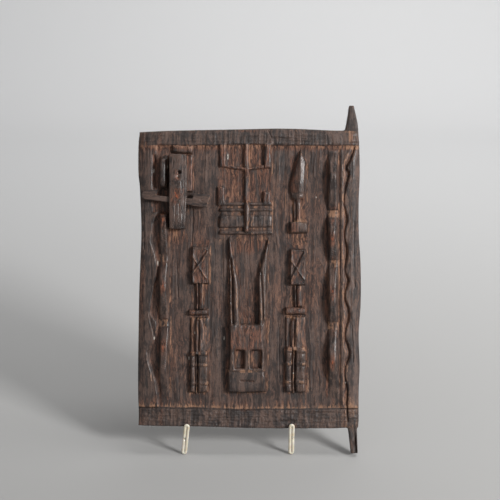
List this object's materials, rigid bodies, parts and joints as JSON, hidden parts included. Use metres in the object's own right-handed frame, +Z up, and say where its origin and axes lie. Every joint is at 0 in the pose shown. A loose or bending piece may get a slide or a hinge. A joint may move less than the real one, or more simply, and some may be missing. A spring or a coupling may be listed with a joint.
{
  "type": "carved wooden door",
  "caption": "Small carved wooden door with corner pivot pegs, relief figures, a horned mask, zigzag ridges and a sliding lock bolt, leaning on a coated wire display stand.",
  "frame": {"origin": "on the floor, under the middle of the whole, door and stand together", "axes": "+Z up, -Y towards the viewer of the carved face, +X to the viewer's right, on the side of the pivot pegs"},
  "size_m": [0.2378, 0.1374, 0.355],
  "materials": {
    "board_wood": "dark worn patina, reddish brown in the recesses, satin",
    "block_wood": "dark polished patina with red-brown wear",
    "bolt_wood": "dark grey-brown patina, satin",
    "coated_wire": "ivory plastic coating, satin"
  },
  "bodies": {
    "door": {"door_panel": "board_wood", "lock_block": "block_wood", "stand_left_wire": "coated_wire", "stand_right_wire": "coated_wire", "stand_upper_bar": "coated_wire", "stand_lower_bar": "coated_wire"},
    "bolt": {"lock_bolt": "bolt_wood"}
  },
  "joints": [
    {"name": "bolt_slide", "type": "slide", "parent": "door", "child": "bolt", "axis": [0.9956, -0.0291, -0.0895], "range_m": [-0.006, 0.012]}
  ]
}
